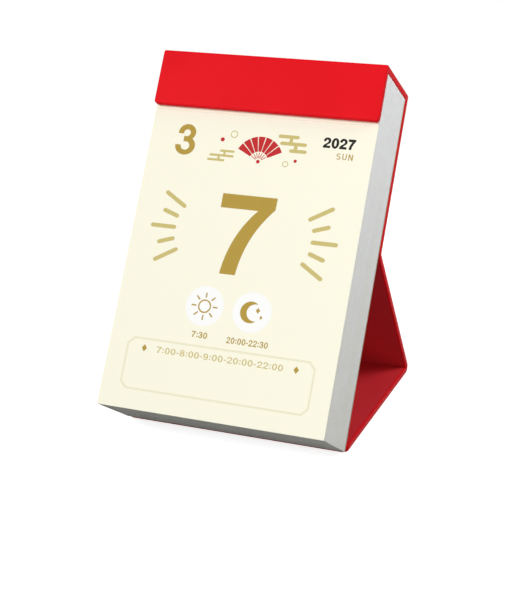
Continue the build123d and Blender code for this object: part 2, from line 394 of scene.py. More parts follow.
def closed(mesh, weld=None):
    """Turns every face of a closed mesh outward, after welding points that lie closer than a distance."""
    shell = bmesh.new()
    shell.from_mesh(mesh)
    if weld:
        bmesh.ops.remove_doubles(shell, verts=shell.verts, dist=weld)
    bmesh.ops.recalc_face_normals(shell, faces=shell.faces)
    shell.to_mesh(mesh)
    shell.free()
    return mesh


def skin_over_rings(name, rings):
    """Closed mesh over rings of points that all have the same count."""
    count = len(rings[0])
    points = [point for ring in rings for point in ring]
    faces = []
    for near in range(0, len(points) - count, count):
        far = near + count
        for i in range(count):
            j = (i + 1) % count
            faces.append((near + i, near + j, far + j, far + i))
    faces.append(tuple(range(count)))
    faces.append(tuple(range(len(points) - count, len(points))))
    mesh = bpy.data.meshes.new(name)
    mesh.from_pydata(points, [], faces)
    return closed(mesh)


def add_piece(mesh, finish, stands_for=()):
    """Object for a mesh, with its finish; the CAD nodes that it stands for are hidden."""
    piece = bpy.data.objects.new(mesh.name, mesh)
    bpy.context.scene.collection.objects.link(piece)
    mesh.materials.clear()
    mesh.materials.append(finish)
    if stands_for:
        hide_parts(*stands_for)
    return piece


def soften(piece):
    """Smooth shading that keeps large faces flat and sharp corners sharp."""
    for face in piece.data.polygons:
        face.use_smooth = True
    piece.data.set_sharp_from_angle(angle=SHARP_TURN)
    weighted = piece.modifiers.new("even_normals", "WEIGHTED_NORMAL")
    weighted.keep_sharp = True


print(f"edges that turn more than {math.degrees(SHARP_TURN):.0f} degrees stay sharp")

# %% [markdown]
# ## Header, spine and upper back
# One strip of paper is wrapped over three boards, so on the real calendar these read as a single soft-edged
# band. The section of the band, seen from the side, is drawn once as a function of an inset. Rings of that
# section run across the calendar, and near both ends they draw in along a quarter circle, which gives the
# rounded turn of paper round a board. The header's two lower corners are rounded in plan as well: there the
# ring's points are pulled in.

# %% Draw the section of the case
header_low, header_high = page_extent("header_cover")
spine_low, spine_high = page_extent("spine_cover")
back_low, back_high = page_extent("back_cover")
CASE_HALF = header_high[0]
NOSE_RADIUS = 0.5
LEAST_NOSE = 0.02
SPINE_RADIUS = 1.2
HEADER_CORNER = 1.6
TURN_STEPS = 6
QUARTER_TURN = [math.radians(90 * i / TURN_STEPS) for i in range(TURN_STEPS + 1)]


def arc(cx, cy, rx, ry, start, end, steps):
    """Points on an ellipse from one angle to another, in degrees."""
    angles = [math.radians(start + (end - start) * i / steps) for i in range(steps + 1)]
    return [(cx + rx * math.cos(a), cy + ry * math.sin(a)) for a in angles]


def header_end(inset, face, side):
    """Points along one face of the header's lower end, from its edge upward, as (up, out, pull)."""
    nose = max(NOSE_RADIUS - inset, LEAST_NOSE)
    points = []
    for turn in QUARTER_TURN:
        rise = HEADER_CORNER * (1 - math.cos(turn))
        pull = HEADER_CORNER * (1 - math.sin(turn))
        drop = nose - math.sqrt(nose**2 - max(nose - rise, 0) ** 2)
        points.append((header_low[1] + rise, face - side * drop, pull))
    return points


def case_section(inset):
    """Closed side outline of the case strip, drawn in by an inset."""
    front = header_high[2] - inset
    top = spine_high[1] - inset
    rear = back_low[2] + inset
    inner_top = spine_low[1] + inset
    inner_rear = back_high[2] - inset
    inner_front = header_low[2] + inset
    turn = SPINE_RADIUS - inset
    outline = arc(top - turn, front - turn, turn, turn, 90, 0, TURN_STEPS)
    outline += arc(top - turn, rear + turn, turn, turn, 0, -90, TURN_STEPS)
    outline += [(back_low[1], rear), (back_low[1], inner_rear)]
    outline += [(inner_top, inner_rear), (inner_top, inner_front)]
    unpulled = [(up, out, 0) for up, out in outline]
    return header_end(inset, front, 1) + unpulled + header_end(inset, inner_front, -1)[::-1]


print(f"case {2 * CASE_HALF:.1f} mm wide, section of {len(case_section(0))} points")

# %% Wrap the case
WRAP_RADIUS = 0.55


def end_turns():
    """Side, inset and reach of each ring of a wrapped strip, from its left end to its right end."""
    for side, turns in ((-1, QUARTER_TURN), (1, QUARTER_TURN[::-1])):
        for turn in turns:
            yield side, WRAP_RADIUS * (1 - math.sin(turn)), CASE_HALF - WRAP_RADIUS * (1 - math.cos(turn))


case_rings = []
for side, inset, reach in end_turns():
    case_rings.append([page_point(side * (reach - pull), up, out) for up, out, pull in case_section(inset)])
case_cover = add_piece(
    skin_over_rings("case_cover", case_rings),
    cover_paper,
    ("header_cover", "spine_cover", "back_cover"),
)
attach(case_cover, "pad")
soften(case_cover)
print("case cover:", len(case_cover.data.polygons), "faces")

# %% [markdown]
# ## Base and support panels
# The two stand panels are boards wrapped in the same paper, with a lining pasted over the turned-in edges.
# The skin is made like the case, but the rings are plan outlines stacked through the thickness, drawn in at
# both faces. The base's front corners are rounded. The fold ends stay square, because the paper runs on
# over the fold there.

# %% Find the stand's own directions
joints = {joint["name"]: joint for joint in frame["joints"]}
rear_fold = Vector(joints["rear_fold"]["pos_m"])
back_fold = Vector(joints["back_fold"]["pos_m"])
base_low, base_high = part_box("base_cover")
PANEL = (base_high.z - base_low.z) / MM
between = back_fold - rear_fold
RISE = math.atan2(between.z, -between.y) - math.asin(PANEL * MM / between.length)
SUPPORT_UP = Vector((0, -math.cos(RISE), math.sin(RISE)))
SUPPORT_IN = Vector((0, -math.sin(RISE), -math.cos(RISE)))
BASE_LENGTH = (base_high.y - base_low.y) / MM
support_rises = [(corner - rear_fold).dot(SUPPORT_UP) / MM for corner in cad_points("support_cover")]
support_start = min(support_rises)
support_end = max(support_rises)


def base_point(x, along, depth):
    """Place of a point across the base, back from its front edge and up from the table."""
    return Vector((x * MM, base_low.y + along * MM, depth * MM))


def support_point(x, along, depth):
    """Place of a point across the support, up from the rear fold and in from its outer face."""
    start = rear_fold - SUPPORT_IN * PANEL * MM
    return start + Vector((x * MM, 0, 0)) + (SUPPORT_UP * along + SUPPORT_IN * depth) * MM


print(f"panel {PANEL:.2f} mm, base {BASE_LENGTH:.2f} mm, support rises {math.degrees(RISE):.2f} degrees")

# %% Wrap the base and the support
BASE_CORNER = 2.6


def near_rounded(half, near, far, corner):
    """Outline across a panel that is square at its far end and rounded at its two near corners."""
    right = arc(half - corner, near + corner, corner, corner, 0, -90, TURN_STEPS)
    left = arc(-half + corner, near + corner, corner, corner, -90, -180, TURN_STEPS)
    return [(half, far), *right, *left, (-half, far)]


def base_plan(inset):
    """Plan of the base: square at the fold, rounded at its two front corners."""
    return near_rounded(CASE_HALF - inset, inset, BASE_LENGTH, BASE_CORNER - inset)


def support_plan(inset):
    """Plan of the support, square at both folds."""
    half = CASE_HALF - inset
    return [(half, support_end), (half, support_start), (-half, support_start), (-half, support_end)]


def wrapped_panel(name, plan, place, stands_for):
    """Panel whose plan draws in round both faces, as paper does round the edge of a board."""
    lower = [(WRAP_RADIUS * (1 - math.cos(t)), WRAP_RADIUS * (1 - math.sin(t))) for t in QUARTER_TURN]
    upper = [(PANEL - depth, inset) for depth, inset in reversed(lower)]
    rings = [[place(x, along, depth) for x, along in plan(inset)] for depth, inset in lower + upper]
    panel = add_piece(skin_over_rings(name, rings), cover_paper, stands_for)
    soften(panel)
    return panel


base_panel = wrapped_panel("base_wrap", base_plan, base_point, ("base_cover",))
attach(base_panel, "base")
support_panel = wrapped_panel("support_wrap", support_plan, support_point, ("support_cover",))
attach(support_panel, "support")
print("panels:", len(base_panel.data.polygons), "and", len(support_panel.data.polygons), "faces")

# %% [markdown]
# ## Linings
# A lining is a sheet pasted inside the panel, a little smaller than the board, so that a border of
# turned-in cover paper shows round it. A flush sheet would flicker with the panel's face, and a real one
# stands up by its own thickness, so each sheet is a thin closed mesh that lies a few hundredths of a
# millimetre proud. Blender's 2D curve is the easy way to fill such an outline, holes included, and it will
# do for every leaf and all the print.

# %% Paste the linings
WELD = 0.0005
LINING_STAND = 0.03
LINING_SINK = 0.03
LINING_CORNER = 1.2
LINING_BORDER = 0.8


def filled_outline(name, contours, thickness):
    """Closed flat mesh inside outlines in millimetres; an outline inside another is a hole."""
    curve = bpy.data.curves.new(name, "CURVE")
    curve.dimensions = "2D"
    curve.fill_mode = "BOTH"
    curve.extrude = thickness / 2
    for contour in contours:
        spline = curve.splines.new("POLY")
        spline.points.add(len(contour) - 1)
        for point, (x, y) in zip(spline.points, contour):
            point.co = (x, y, 0, 1)
        spline.use_cyclic_u = True
    drawn = bpy.data.objects.new(name, curve)
    mesh = bpy.data.meshes.new_from_object(drawn)
    bpy.data.objects.remove(drawn)
    return closed(mesh, WELD)


def pasted_lining(name, near, far, place, stands_for):
    """Thin sheet on the inner face of a panel, with its near corners rounded."""
    outline = near_rounded(CASE_HALF - LINING_BORDER, near, far, LINING_CORNER)
    mesh = filled_outline(name, [outline], LINING_STAND + LINING_SINK)
    middle = PANEL + (LINING_STAND - LINING_SINK) / 2
    for vertex in mesh.vertices:
        vertex.co = place(vertex.co.x, vertex.co.y, middle + vertex.co.z)
    return add_piece(mesh, lining_paper, stands_for)


base_lining = pasted_lining("base_lining_sheet", LINING_BORDER, BASE_LENGTH, base_point, ("base_lining",))
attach(base_lining, "base")
support_lining = pasted_lining(
    "support_lining_sheet", support_start, support_end, support_point, ("support_lining",)
)
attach(support_lining, "support")
print(f"linings lie {LINING_BORDER} mm in from the ends of the panels and stand {LINING_STAND} mm proud")

# %% [markdown]
# ## Paper over the two folds
# At the rear fold the cover paper goes round the outside of the bend, and at the back fold it lies in a
# valley. Either would tear if it rode on one panel, so neither is attached to a panel. Each is made as a full
# wedge, since the turned-in paper packs the crease and its end shows from the side.

# %% Bend paper round the rear fold
CREASE_DRAW = 0.2


def rear_fold_section(inset):
    """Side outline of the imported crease: round outside, meeting the ends of both panels."""
    radius = PANEL - inset
    outward = 90 - math.degrees(RISE)
    outside = arc(rear_fold.y / MM, rear_fold.z / MM, radius, radius, -90, outward, 2 * TURN_STEPS)
    between_panels = (SUPPORT_UP + Vector((0, -1, 0))).normalized()
    return [
        base_point(0, BASE_LENGTH, inset),
        *(Vector((0, y, z)) * MM for y, z in outside),
        support_point(0, support_start, inset),
        support_point(0, support_start, PANEL - inset),
        rear_fold - between_panels * inset * MM * CREASE_DRAW,
        base_point(0, BASE_LENGTH, PANEL - inset),
    ]


crease_rings = []
for side, inset, reach in end_turns():
    across = Vector((side * reach * MM, 0, 0))
    crease_rings.append([point + across for point in rear_fold_section(inset)])
rear_crease = add_piece(
    skin_over_rings("rear_fold_wrap", crease_rings), cover_paper, ("rear_fold_paper",)
)
soften(rear_crease)
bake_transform(rear_crease)
print("rear fold wrap:", len(rear_crease.data.polygons), "faces")

# %% Pack paper into the back fold
CREASE_ROOM = 0.1
valley = [
    support_point(0, support_end, 0),
    Vector((0, back_fold.y, back_fold.z)),
    page_point(0, back_low[1], back_low[2]),
    page_point(0, back_low[1], back_high[2] - CREASE_ROOM),
    support_point(0, support_end, PANEL - CREASE_ROOM),
]
valley_reach = (CASE_HALF - CREASE_ROOM) * MM
valley_rings = [[point + Vector((x, 0, 0)) for point in valley] for x in (-valley_reach, 0, valley_reach)]
back_crease = add_piece(skin_over_rings("back_fold_wrap", valley_rings), cover_paper)
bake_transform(back_crease)
print("back fold wrap:", len(back_crease.data.polygons), "faces")

# %% [markdown]
# ## The block of leaves
# A calendar pad is cut through in one stroke, and handling then lets the sheets slide by hundredths of a
# millimetre. A plain block with painted lines would look like a block, so every leaf is a sheet of its own:
# one template with the four staple holes is copied down the pad. Each copy leans a little to one side and
# is trimmed a hair longer or shorter at the foot, with seeded random numbers so that every run gives the
# same pad.

# %% Measure the perforation and the staples
PERFORATION = leaf_high[1]
LEAF_HEIGHT = page_extent("march_leaves")[1][1]
TIE_PITCH = 2.0
SLOT_WIDTH = 1.2
SLOT_HEIGHT = 0.08
SLOT_COUNT = int(LEAF_WIDTH / TIE_PITCH)
SLOT_MIDDLES = [(i - (SLOT_COUNT - 1) / 2) * TIE_PITCH for i in range(SLOT_COUNT)]
staple_low, staple_high = page_extent("binding_staples")
STAPLE_WIRE = 0.8
STAPLE_CROWN = 12.0
STAPLE_ROOM = 0.06
STAPLE_UP = (staple_low[1] + staple_high[1]) / 2
STAPLE_MIDDLES = [side * (staple_high[0] - STAPLE_WIRE / 2 - STAPLE_CROWN / 2) for side in (-1, 1)]
print(f"perforation at {PERFORATION:.1f} mm with {SLOT_COUNT} slots, staples at", np.round(STAPLE_MIDDLES, 2))

# %% Draw the leaf outlines
def box_outline(left, right, low, high):
    """Rectangle as an outline."""
    return [(left, low), (right, low), (right, high), (left, high)]


def slot_outlines():
    """The perforation's slots, evenly spaced across the leaf."""
    half = SLOT_WIDTH / 2
    return [box_outline(x - half, x + half, PERFORATION - SLOT_HEIGHT, PERFORATION) for x in SLOT_MIDDLES]


def torn_leaf_outline():
    """Loose part of a leaf: its top edge carries the paper ties between the slots."""
    half = LEAF_WIDTH / 2
    outline = [(-half, 0), (half, 0), (half, PERFORATION)]
    for low_left, low_right, high_right, high_left in reversed(slot_outlines()):
        outline += [high_right, low_right, low_left, high_left]
    return [outline + [(-half, PERFORATION)]]


def bound_leaf_outline(under_crown):
    """Whole leaf with its staple holes, or with the dents of the staple crowns."""
    reach = STAPLE_WIRE / 2 + STAPLE_ROOM
    contours = [box_outline(-LEAF_WIDTH / 2, LEAF_WIDTH / 2, 0, LEAF_HEIGHT)]
    for middle in STAPLE_MIDDLES:
        legs = [middle - STAPLE_CROWN / 2, middle + STAPLE_CROWN / 2]
        spans = [legs] if under_crown else [(leg, leg) for leg in legs]
        for first, last in spans:
            contours.append(box_outline(first - reach, last + reach, STAPLE_UP - reach, STAPLE_UP + reach))
    return contours


print("a loose leaf's outline has", len(torn_leaf_outline()[0]), "points")

# %% [markdown]
# ## Stacking the months
# The CAD model has one block for each month, as thick as its leaves, so the count of leaves can be read
# from it. All leaves of a month go into one mesh: 298 objects would be slow to handle, and islands in one
# mesh still keep the leaves apart. The leaf next to the loose ones shows its perforation, and the first few
# lie under the staple crowns.

# %% Cut the leaf templates
LEAF_PITCH = leaf_high[2] - leaf_low[2]
INK_ROOM = 0.02
LEAF_THICKNESS = LEAF_PITCH - INK_ROOM


def leaf_template(contours):
    """Points and faces of one flat leaf, ready to be copied many times."""
    mesh = filled_outline("leaf", contours, LEAF_THICKNESS)
    return np.array([vertex.co for vertex in mesh.vertices]), [list(face.vertices) for face in mesh.polygons]


PLAIN_LEAF = leaf_template(bound_leaf_outline(under_crown=False))
DENTED_LEAF = leaf_template(bound_leaf_outline(under_crown=True))
PERFORATED_LEAF = leaf_template(bound_leaf_outline(under_crown=True) + slot_outlines())
print("templates of", [len(leaf[0]) for leaf in (PLAIN_LEAF, DENTED_LEAF, PERFORATED_LEAF)], "points")

# %% Stack the months
MONTHS = ("march", "april", "may", "june", "july", "august", "september", "october", "november", "december")
SLIDE = 0.10
SLIDE_WAVE = 0.045
SLIDE_START = 0.8
SLIDE_BEAT = 0.013
SIDE_TRIM = 0.03
FOOT_TRIM = 0.006
FOOT_ZONE = 1.0
trim_luck = random.Random(31)


def slid_leaf(points, number, middle):
    """One leaf of the pad, slid a little at its foot and held at the staples."""
    drift = SLIDE * math.sin(number * SLIDE_WAVE + SLIDE_START) * math.cos(number * SLIDE_BEAT)
    sideways = drift + trim_luck.uniform(-SIDE_TRIM, SIDE_TRIM)
    foot_trim = trim_luck.uniform(-FOOT_TRIM, FOOT_TRIM)
    moved = []
    for x, up, out in points:
        freedom = max(0.0, 1 - up / STAPLE_UP)
        foot_cut = foot_trim - FOOT_SLANT * (1 - (middle + out) / PAGE_FRONT)
        moved.append(page_point(x + sideways * freedom, up + foot_cut * (up < FOOT_ZONE), middle + out))
    return moved


def month_block(month, count, front, first_number):
    """All leaves of one month as separate sheets in one mesh."""
    points, faces = [], []
    for number in range(first_number, first_number + count):
        back = front - (number - first_number + 1) * LEAF_PITCH
        under_crown = back + LEAF_PITCH > staple_high[2] - STAPLE_WIRE - STAPLE_ROOM
        template = DENTED_LEAF if under_crown else PLAIN_LEAF
        if number == 0:
            template = PERFORATED_LEAF
        start = len(points)
        points += slid_leaf(template[0], number, back + LEAF_THICKNESS / 2)
        faces += [[start + index for index in face] for face in template[1]]
    mesh = bpy.data.meshes.new(f"{month}_sheets")
    mesh.from_pydata(points, [], faces)
    block = add_piece(mesh, leaf_paper, (f"{month}_leaves",))
    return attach(block, "pad")


stack_front = page_extent("march_leaves")[1][2]
block_front = stack_front
stacked = 0
for month in MONTHS:
    block_low, block_high = page_extent(f"{month}_leaves")
    count = round((block_high[2] - block_low[2]) / LEAF_PITCH)
    month_block(month, count, block_front, stacked)
    block_front -= count * LEAF_PITCH
    stacked += count
print("stacked", stacked, "leaves down to", round(block_front, 3), "mm from the pad's back")

# %% [markdown]
# ## The two front leaves
# Today's leaf and tomorrow's are loose below the perforation: they lift, and today's tears away. Cutting a
# slit into a whole leaf would leave it bound, so each is a sheet of its own with the row of paper ties
# along its top edge. It is a hair thinner than its place in the pad, which leaves room for its own ink.

# %% Lay the front leaves
def lay_on_page(mesh, middle):
    """Moves a flat mesh from millimetres on the drawing board to its depth in the page's frame."""
    for vertex in mesh.vertices:
        vertex.co = page_point(vertex.co.x, vertex.co.y, middle + vertex.co.z)
    mesh.update()


def front_leaf(name, body, back, stands_for):
    """Loose leaf with its perforated edge, lying at its depth in the pad."""
    mesh = filled_outline(name, torn_leaf_outline(), LEAF_THICKNESS)
    lay_on_page(mesh, back + LEAF_THICKNESS / 2)
    leaf = add_piece(mesh, leaf_paper, stands_for)
    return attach(leaf, body)


today_back = leaf_low[2]
next_back = page_extent("next_leaf")[0][2]
front_leaf("today_sheet", "today_leaf", today_back, ("today_leaf",))
front_leaf("next_sheet", "next_leaf", next_back, ("next_leaf",))
print("front leaves lie at", round(today_back, 3), "and", round(next_back, 3), "mm")

# %% [markdown]
# ## Finishes for the CAD parts that stay
# The boards, glue sheets, stubs, backing, staples, flap and tapes are already right in shape, so they only
# need their materials. A CAD object takes one by its material slot; its mesh isn't touched.

# %% Dress the CAD parts
CAD_FINISHES = [
    (grey_board, ["header_board", "spine_board", "back_board", "base_board", "support_board"]),
    (chipboard, ["backing_board"]),
    (binding_glue, ["header_glue", "spine_glue", "back_glue", "padding_glue"]),
    (flap_tape, ["flap_tapes"]),
    (lining_paper, ["closing_flap"]),
    (leaf_paper, ["today_stub", "next_stub"]),
    (staple_wire, ["binding_staples"]),
]
for finish, nodes in CAD_FINISHES:
    for node in nodes:
        dressed = frame["nodes"][node]
        dressed.data.materials.clear()
        dressed.data.materials.append(finish)
print("dressed", sum(len(nodes) for finish, nodes in CAD_FINISHES), "CAD parts")

# %% [markdown]
# ## Figures for the print
# A calendar's figures are bold and plain, with no serifs. Blender's built-in face is too light for them,
# and thickening its outlines breaks the round ones. So the figures and letters that the pages need are
# drawn here from arcs and a few curves with handles, in hundredths of their height. An outline inside
# another is a hole.

# %% Draw the round figures
def oval(cx, cy, rx, ry, steps):
    """Points all round an ellipse."""
    return arc(cx, cy, rx, ry, 0, 360, steps)[:-1]


ROUND_FIGURES = {
    "0": [oval(37, 50, 34.5, 51.5, 48), oval(37, 50, 14.5, 35, 40)],
    "3": [
        arc(36, 73.5, 31, 27.5, 190, -44, 30)
        + arc(36, 29.5, 35.5, 31, 52, -183, 36)
        + arc(36, 29, 15.5, 14, 172, 450, 28)
        + [(27, 43), (27, 60.5)]
        + arc(36, 72, 12, 11.5, -90, 197, 26)
    ],
    "8": [
        arc(37, 74.5, 31.5, 27, 229, -49, 32) + arc(37, 29.5, 35.5, 31, 53.8, -233.8, 36),
        oval(37, 74.5, 12.5, 11, 30),
        oval(37, 29, 15.5, 14.5, 30),
    ],
    "9": [
        arc(36.5, 67, 34, 34.5, -65.5, -270, 30)
        + arc(36.5, 50, 34, 51.5, 90, -90, 30)[1:]
        + arc(36.5, 24, 32, 25.5, -90, -180, 12)[1:]
        + arc(36.5, 24, 13, 10, 180, 270, 10)
        + arc(36.5, 42, 14.5, 28, -90, -13.5, 12)[1:],
        oval(36.5, 67.5, 14.5, 17.5, 32),
    ],
}
print("round figures:", sorted(ROUND_FIGURES))

# %% Draw the straight figures and marks
BEND_STEPS = 14


def bend(p, q, r, s):
    """Points on a smooth curve from p to s that is pulled by its handles q and r."""
    points = []
    for i in range(BEND_STEPS + 1):
        t = i / BEND_STEPS
        weights = ((1 - t) ** 3, 3 * t * (1 - t) ** 2, 3 * t * t * (1 - t), t**3)
        x = sum(w * point[0] for w, point in zip(weights, (p, q, r, s)))
        y = sum(w * point[1] for w, point in zip(weights, (p, q, r, s)))
        points.append((x, y))
    return points


STRAIGHT_FIGURES = {
    "7": [
        [(1.7, 100), (72.3, 100), (72, 85.1)]
        + bend((72, 85.1), (50.8, 61), (38.6, 33), (36, 0))[1:]
        + bend((15.7, 0), (18.7, 34), (31.5, 61), (50.5, 82.1))
        + [(1.7, 82.1)]
    ],
    "2": [
        arc(36.5, 70.5, 33.5, 31, 188, -25, 28)
        + bend((66.9, 57.4), (61, 44), (36, 34), (29, 18))[1:]
        + [(71, 18), (71, 0), (1, 0)]
        + bend((1, 0), (3, 24), (20, 34), (36, 45))[1:]
        + bend((36, 45), (46, 52), (51, 59), (51, 69.5))[1:]
        + arc(36.5, 69.5, 14.5, 14.5, 0, 194, 20)[1:]
    ],
    ":": [oval(16, 20, 11, 11, 20), oval(16, 66, 11, 11, 20)],
    "-": [box_outline(3, 39, 31, 47)],
}
print("straight figures and marks:", sorted(STRAIGHT_FIGURES))

# %% Draw the letters
LETTERS = {
    "T": [[(0, 84), (23.5, 84), (23.5, 0), (40.5, 0), (40.5, 84), (64, 84), (64, 100), (0, 100)]],
    "N": [
        [(0, 0), (17, 0), (17, 68), (48, 0), (67, 0)]
        + [(67, 100), (50, 100), (50, 32), (19, 100), (0, 100)]
    ],
    "M": [
        [(0, 0), (16, 0), (16, 72), (34, 8), (50, 8), (68, 72), (68, 0), (84, 0)]
        + [(84, 100), (60, 100), (42, 36), (24, 100), (0, 100)]
    ],
    "E": [
        [(0, 0), (57, 0), (57, 16), (17, 16), (17, 43), (52, 43)]
        + [(52, 59), (17, 59), (17, 84), (56, 84), (56, 100), (0, 100)]
    ],
    "O": [oval(39, 50, 39, 51.5, 40), oval(39, 50, 21, 34, 32)],
    "U": [
        [(17, 100), (0, 100)]
        + arc(33, 33, 33, 34.5, 180, 360, 20)
        + [(66, 100), (49, 100)]
        + arc(33, 33, 16, 18, 360, 180, 16)
    ],
    "S": [
        arc(32, 71.5, 31.5, 30, 20, 257, 26)
        + arc(32, 28.5, 15, 14, 90, -158, 20)
        + arc(32, 28.5, 32, 30, 198, 437, 28)
        + arc(32, 71.5, 14.5, 14, 270, 24, 20)
    ],
}
print("letters:", sorted(LETTERS))

# %% [markdown]
# ## Setting a line
# A printer sets figures side by side with an even gap and picks a weight for each line. Blender's text
# objects do that for a font. For drawn outlines it takes two small functions: one puts the figures
# in a row and scales them, and one moves every outline in or out along its own normals, which makes a line
# bolder or finer.

# %% Set lines of figures
FIGURES = {**ROUND_FIGURES, **STRAIGHT_FIGURES, **LETTERS}
FIGURE_HEIGHT = 100
FIGURE_WIDTHS = {":": 32, "-": 42, "T": 64, "N": 67, "M": 84, "E": 57, "O": 78, "U": 66, "S": 64}
PLAIN_WIDTH = 74
FIGURE_GAP = 7


def set_line(text, middle, low, height, stretch=1.0, gap=FIGURE_GAP):
    """Outlines of a line of figures or letters, centred on a place and standing at a height."""
    widths = [FIGURE_WIDTHS.get(figure, PLAIN_WIDTH) for figure in text]
    scale = height / FIGURE_HEIGHT
    total = (sum(widths) + gap * (len(text) - 1)) * scale * stretch
    left = middle - total / 2
    contours = []
    for figure, width in zip(text, widths):
        for contour in FIGURES[figure]:
            contours.append([(left + x * scale * stretch, low + y * scale) for x, y in contour])
        left += (width + gap) * scale * stretch
    return contours


def heavier(contours, gain):
    """Outlines with a gain in millimetres on both sides of each stroke; a loss makes them lighter."""
    boxes = [(np.min(contour, axis=0), np.max(contour, axis=0)) for contour in contours]
    moved = []
    for contour, (low, high) in zip(contours, boxes):
        around = [box for box in boxes if (box[0] < low).all() and (box[1] > high).all()]
        places = np.array(contour)
        after = np.roll(places, -1, axis=0)
        along = after - np.roll(places, 1, axis=0)
        turn = np.sign(np.sum(places[:, 0] * after[:, 1] - after[:, 0] * places[:, 1]))
        outward = np.stack([along[:, 1], -along[:, 0]], axis=1) * turn
        outward /= np.linalg.norm(outward, axis=1, keepdims=True)
        moved.append((places + outward * (-gain if around else gain)).tolist())
    return moved


print("figures ready:", sorted(FIGURES))

# %% [markdown]
# ## Ornaments for the print
# Round-ended strokes radiate from both sides of the day, bars of mist and a folding fan decorate the top of
# the page, two white discs carry a sun and a moon, and a frame with clipped corners leaves room for a note.
# All of them are simple outlines: strokes, discs, rings and sectors.

# %% Draw strokes, discs and rings
CAP_STEPS = 8
SECTOR_STEPS = 6


def stroke(ax, ay, bx, by, width):
    """Line with round ends."""
    turn = math.degrees(math.atan2(by - ay, bx - ax))
    r = width / 2
    far_cap = arc(bx, by, r, r, turn - 90, turn + 90, CAP_STEPS)
    return far_cap + arc(ax, ay, r, r, turn + 90, turn + 270, CAP_STEPS)


def spoke(x, y, angle, first, last, width):
    """Stroke along a radius, between two distances from a middle."""
    c = math.cos(math.radians(angle))
    s = math.sin(math.radians(angle))
    return stroke(x + first * c, y + first * s, x + last * c, y + last * s, width)


def disc(x, y, radius, steps=40):
    """Round spot."""
    return oval(x, y, radius, radius, steps)


def ring(x, y, radius, width):
    """Round line."""
    return [disc(x, y, radius + width / 2), disc(x, y, radius - width / 2)]


def diamond(x, y, half_wide, half_high):
    """Small lozenge."""
    return [(x - half_wide, y), (x, y - half_high), (x + half_wide, y), (x, y + half_high)]


def sector(x, y, inner, outer, start, end):
    """Piece of a ring between two angles."""
    outside = arc(x, y, outer, outer, start, end, SECTOR_STEPS)
    return outside + arc(x, y, inner, inner, end, start, SECTOR_STEPS)


print("a disc has", len(disc(0, 0, 1)), "points")

# %% Compose the rays and the mist
RAY_WIDTH = 1.75
LEFT_RAYS = [
    (-35.8, 90.4, -27.3, 85.4),
    (-35.4, 82.9, -29.7, 81.0),
    (-39.6, 76.2, -30.0, 76.2),
    (-35.4, 69.5, -29.7, 71.4),
    (-35.7, 62.0, -27.4, 67.0),
]
STEM_CLEAR = 0.51


def rays():
    """Ten round-ended strokes, five on each side of the day, mirrored about the page's middle."""
    right = [(-bx, by, -ax, ay) for ax, ay, bx, by in LEFT_RAYS]
    return [stroke(*ends, RAY_WIDTH) for ends in LEFT_RAYS + right]


def mist(x, y, lengths, width, pitch, slant):
    """Stacked bars of mist, each slid a little further across, with a short stem between two bars."""
    clear = width * STEM_CLEAR
    shapes = []
    for i, length in enumerate(lengths):
        middle = x + slant * (i - (len(lengths) - 1) / 2)
        level = y + pitch * ((len(lengths) - 1) / 2 - i)
        shapes.append(stroke(middle - length / 2, level, middle + length / 2, level, width))
        if i > 0:
            left = middle - slant / 2 - width / 2
            shapes.append(box_outline(left, left + width, level + clear, level + pitch - clear))
    return shapes


print("rays:", len(rays()), "strokes")

# %% Compose the fan, the icons and the frame
FAN_SPAN = 130
FOLD_GAP = 1.2
RIB_START = 1.6
RIB_ROOM = 0.5
RIB_WIDTH = 0.32
RIVET = 0.8
SUN_LINE = 0.6
CLIP_SHARE = 0.41


def folding_fan(x, y, inner, outer, blades):
    """Open paper fan on bare ribs, with a narrow gap at each fold."""
    start = 90 - FAN_SPAN / 2
    step = FAN_SPAN / blades
    shapes = []
    for i in range(blades):
        first = start + i * step + FOLD_GAP
        last = start + (i + 1) * step - FOLD_GAP
        shapes.append(sector(x, y, inner, outer, first, last))
        shapes.append(spoke(x, y, start + (i + 0.5) * step, RIB_START, inner - RIB_ROOM, RIB_WIDTH))
    return shapes + [disc(x, y, RIVET, 20)]


def sun_icon(x, y):
    """Small sun: a ring and eight rays."""
    beams = [spoke(x, y, angle, first=3.8, last=5.4, width=SUN_LINE) for angle in range(0, 360, 45)]
    return ring(x, y, radius=2.5, width=SUN_LINE) + beams


def moon_icon(x, y):
    """Small crescent with two stars."""
    crescent = arc(x - 0.6, y, 4.4, 4.4, 52, 308, 32) + arc(x + 1.4, y, 3.63, 3.46, 284, 76, 26)[1:-1]
    return [crescent, diamond(x + 2.4, y + 1.0, 0.9, 1.2), diamond(x + 4.1, y - 1.6, 0.6, 0.9)]


def note_frame(half, low, high, clip, width):
    """Line frame with clipped corners."""
    contours = []
    for inset in (0, width):
        side = half - inset
        bottom = low + inset
        top = high - inset
        cut = clip - inset * CLIP_SHARE
        right = [(side - cut, bottom), (side, bottom + cut), (side, top - cut), (side - cut, top)]
        contours.append(right + [(-x, y) for x, y in reversed(right)])
    return contours


print("the fan opens over", FAN_SPAN, "degrees")

# %% [markdown]
# ## Laying out a page
# A day's page holds the month, the day, the weekday and the year, two discs with their hours, and a frame
# for a note. It could be drawn as one picture. A press prints each ink by itself, though, and a layout kept
# by ink can do the same. Places are millimetres across from the page's middle and up from its lower edge.

# %% Lay out a page
MONTH = "3"
YEAR = "2027"
SUN_HOUR = "7:30"
MOON_HOURS = "20:00-22:30"
NOTE_HOURS = "7:00-8:00-9:00-20:00-22:00"
DISC_AT = 10.2
DISC_LEVEL = 45.3
DISC_RADIUS = 8.2
RULE_LEVEL = 25.2
RULE_END = 32.6


